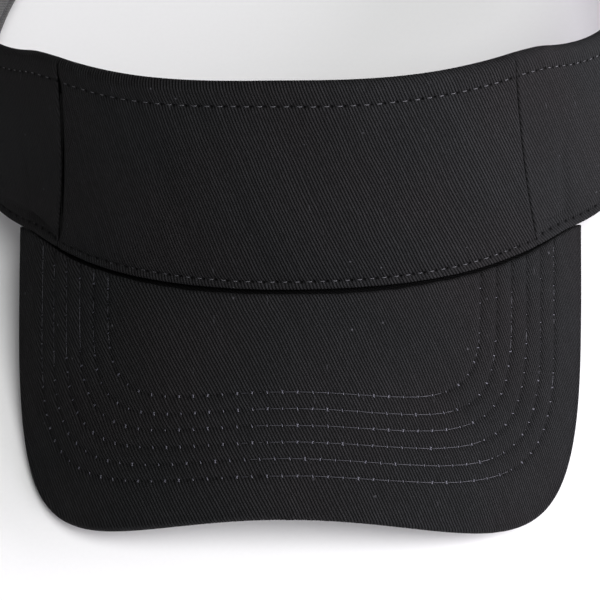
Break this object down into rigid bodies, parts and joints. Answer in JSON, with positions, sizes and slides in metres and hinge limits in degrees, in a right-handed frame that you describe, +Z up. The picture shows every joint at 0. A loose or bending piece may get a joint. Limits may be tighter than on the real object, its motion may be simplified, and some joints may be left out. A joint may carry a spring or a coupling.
{
  "type": "sun visor",
  "caption": "Open-crown sun visor with a curved cap brim, a hemmed cloth band and a back strap that runs through a clamp buckle.",
  "frame": {"origin": "on the table the visor lies on, under the middle of its bounding box", "axes": "+Z up from the table; the brim points along -Y; +X is the wearer's left, on the right of a viewer in front. The band's own axis leans 7.87 degrees back from +Z, because the visor lies on the brim's corners and the band's back rim"},
  "size_m": [0.1986, 0.2501, 0.1101],
  "materials": {
    "outer_twill": "black cotton twill, fine steep diagonal ribs",
    "brim_twill": "black cotton twill stretched over the board",
    "lining_cloth": "black plain-weave cotton",
    "buckram": "stiff off-white open weave",
    "tape_satin": "black woven tape",
    "sweatband_cloth": "black padded cotton",
    "label_satin": "blank woven label, satin",
    "board_plastic": "flexible polyethylene sheet",
    "strap_twill": "black cotton twill, folded and edge stitched",
    "buckle_metal": "brushed, slightly dark"
  },
  "bodies": {
    "band": {"front_panel": "outer_twill", "right_side_band": "outer_twill", "left_side_band": "outer_twill", "front_stiffener": "buckram", "front_lining": "lining_cloth", "right_side_lining": "lining_cloth", "left_side_lining": "lining_cloth", "right_seam_tape": "tape_satin", "left_seam_tape": "tape_satin", "sweatband": "sweatband_cloth", "care_label": "label_satin", "brim_board": "board_plastic", "brim_top_cover": "brim_twill", "brim_under_cover": "brim_twill", "buckle_tab": "strap_twill", "buckle_frame": "buckle_metal", "buckle_pin": "buckle_metal"},
    "strap": {"closure_strap": "strap_twill", "left_band_end": "outer_twill"},
    "lever": {"buckle_lever": "buckle_metal"}
  },
  "joints": [
    {"name": "strap_slide", "type": "hinge", "parent": "band", "child": "strap", "pos_m": [0, 0.02665, 0.03392], "axis": [0, -0.1369, -0.9906], "range_deg": [0, 14]},
    {"name": "lever_hinge", "type": "hinge", "parent": "band", "child": "lever", "pos_m": [0.01123, 0.12305, 0.01443], "axis": [-0.0182, 0.0342, 0.9993], "range_deg": [0, 100]}
  ]
}
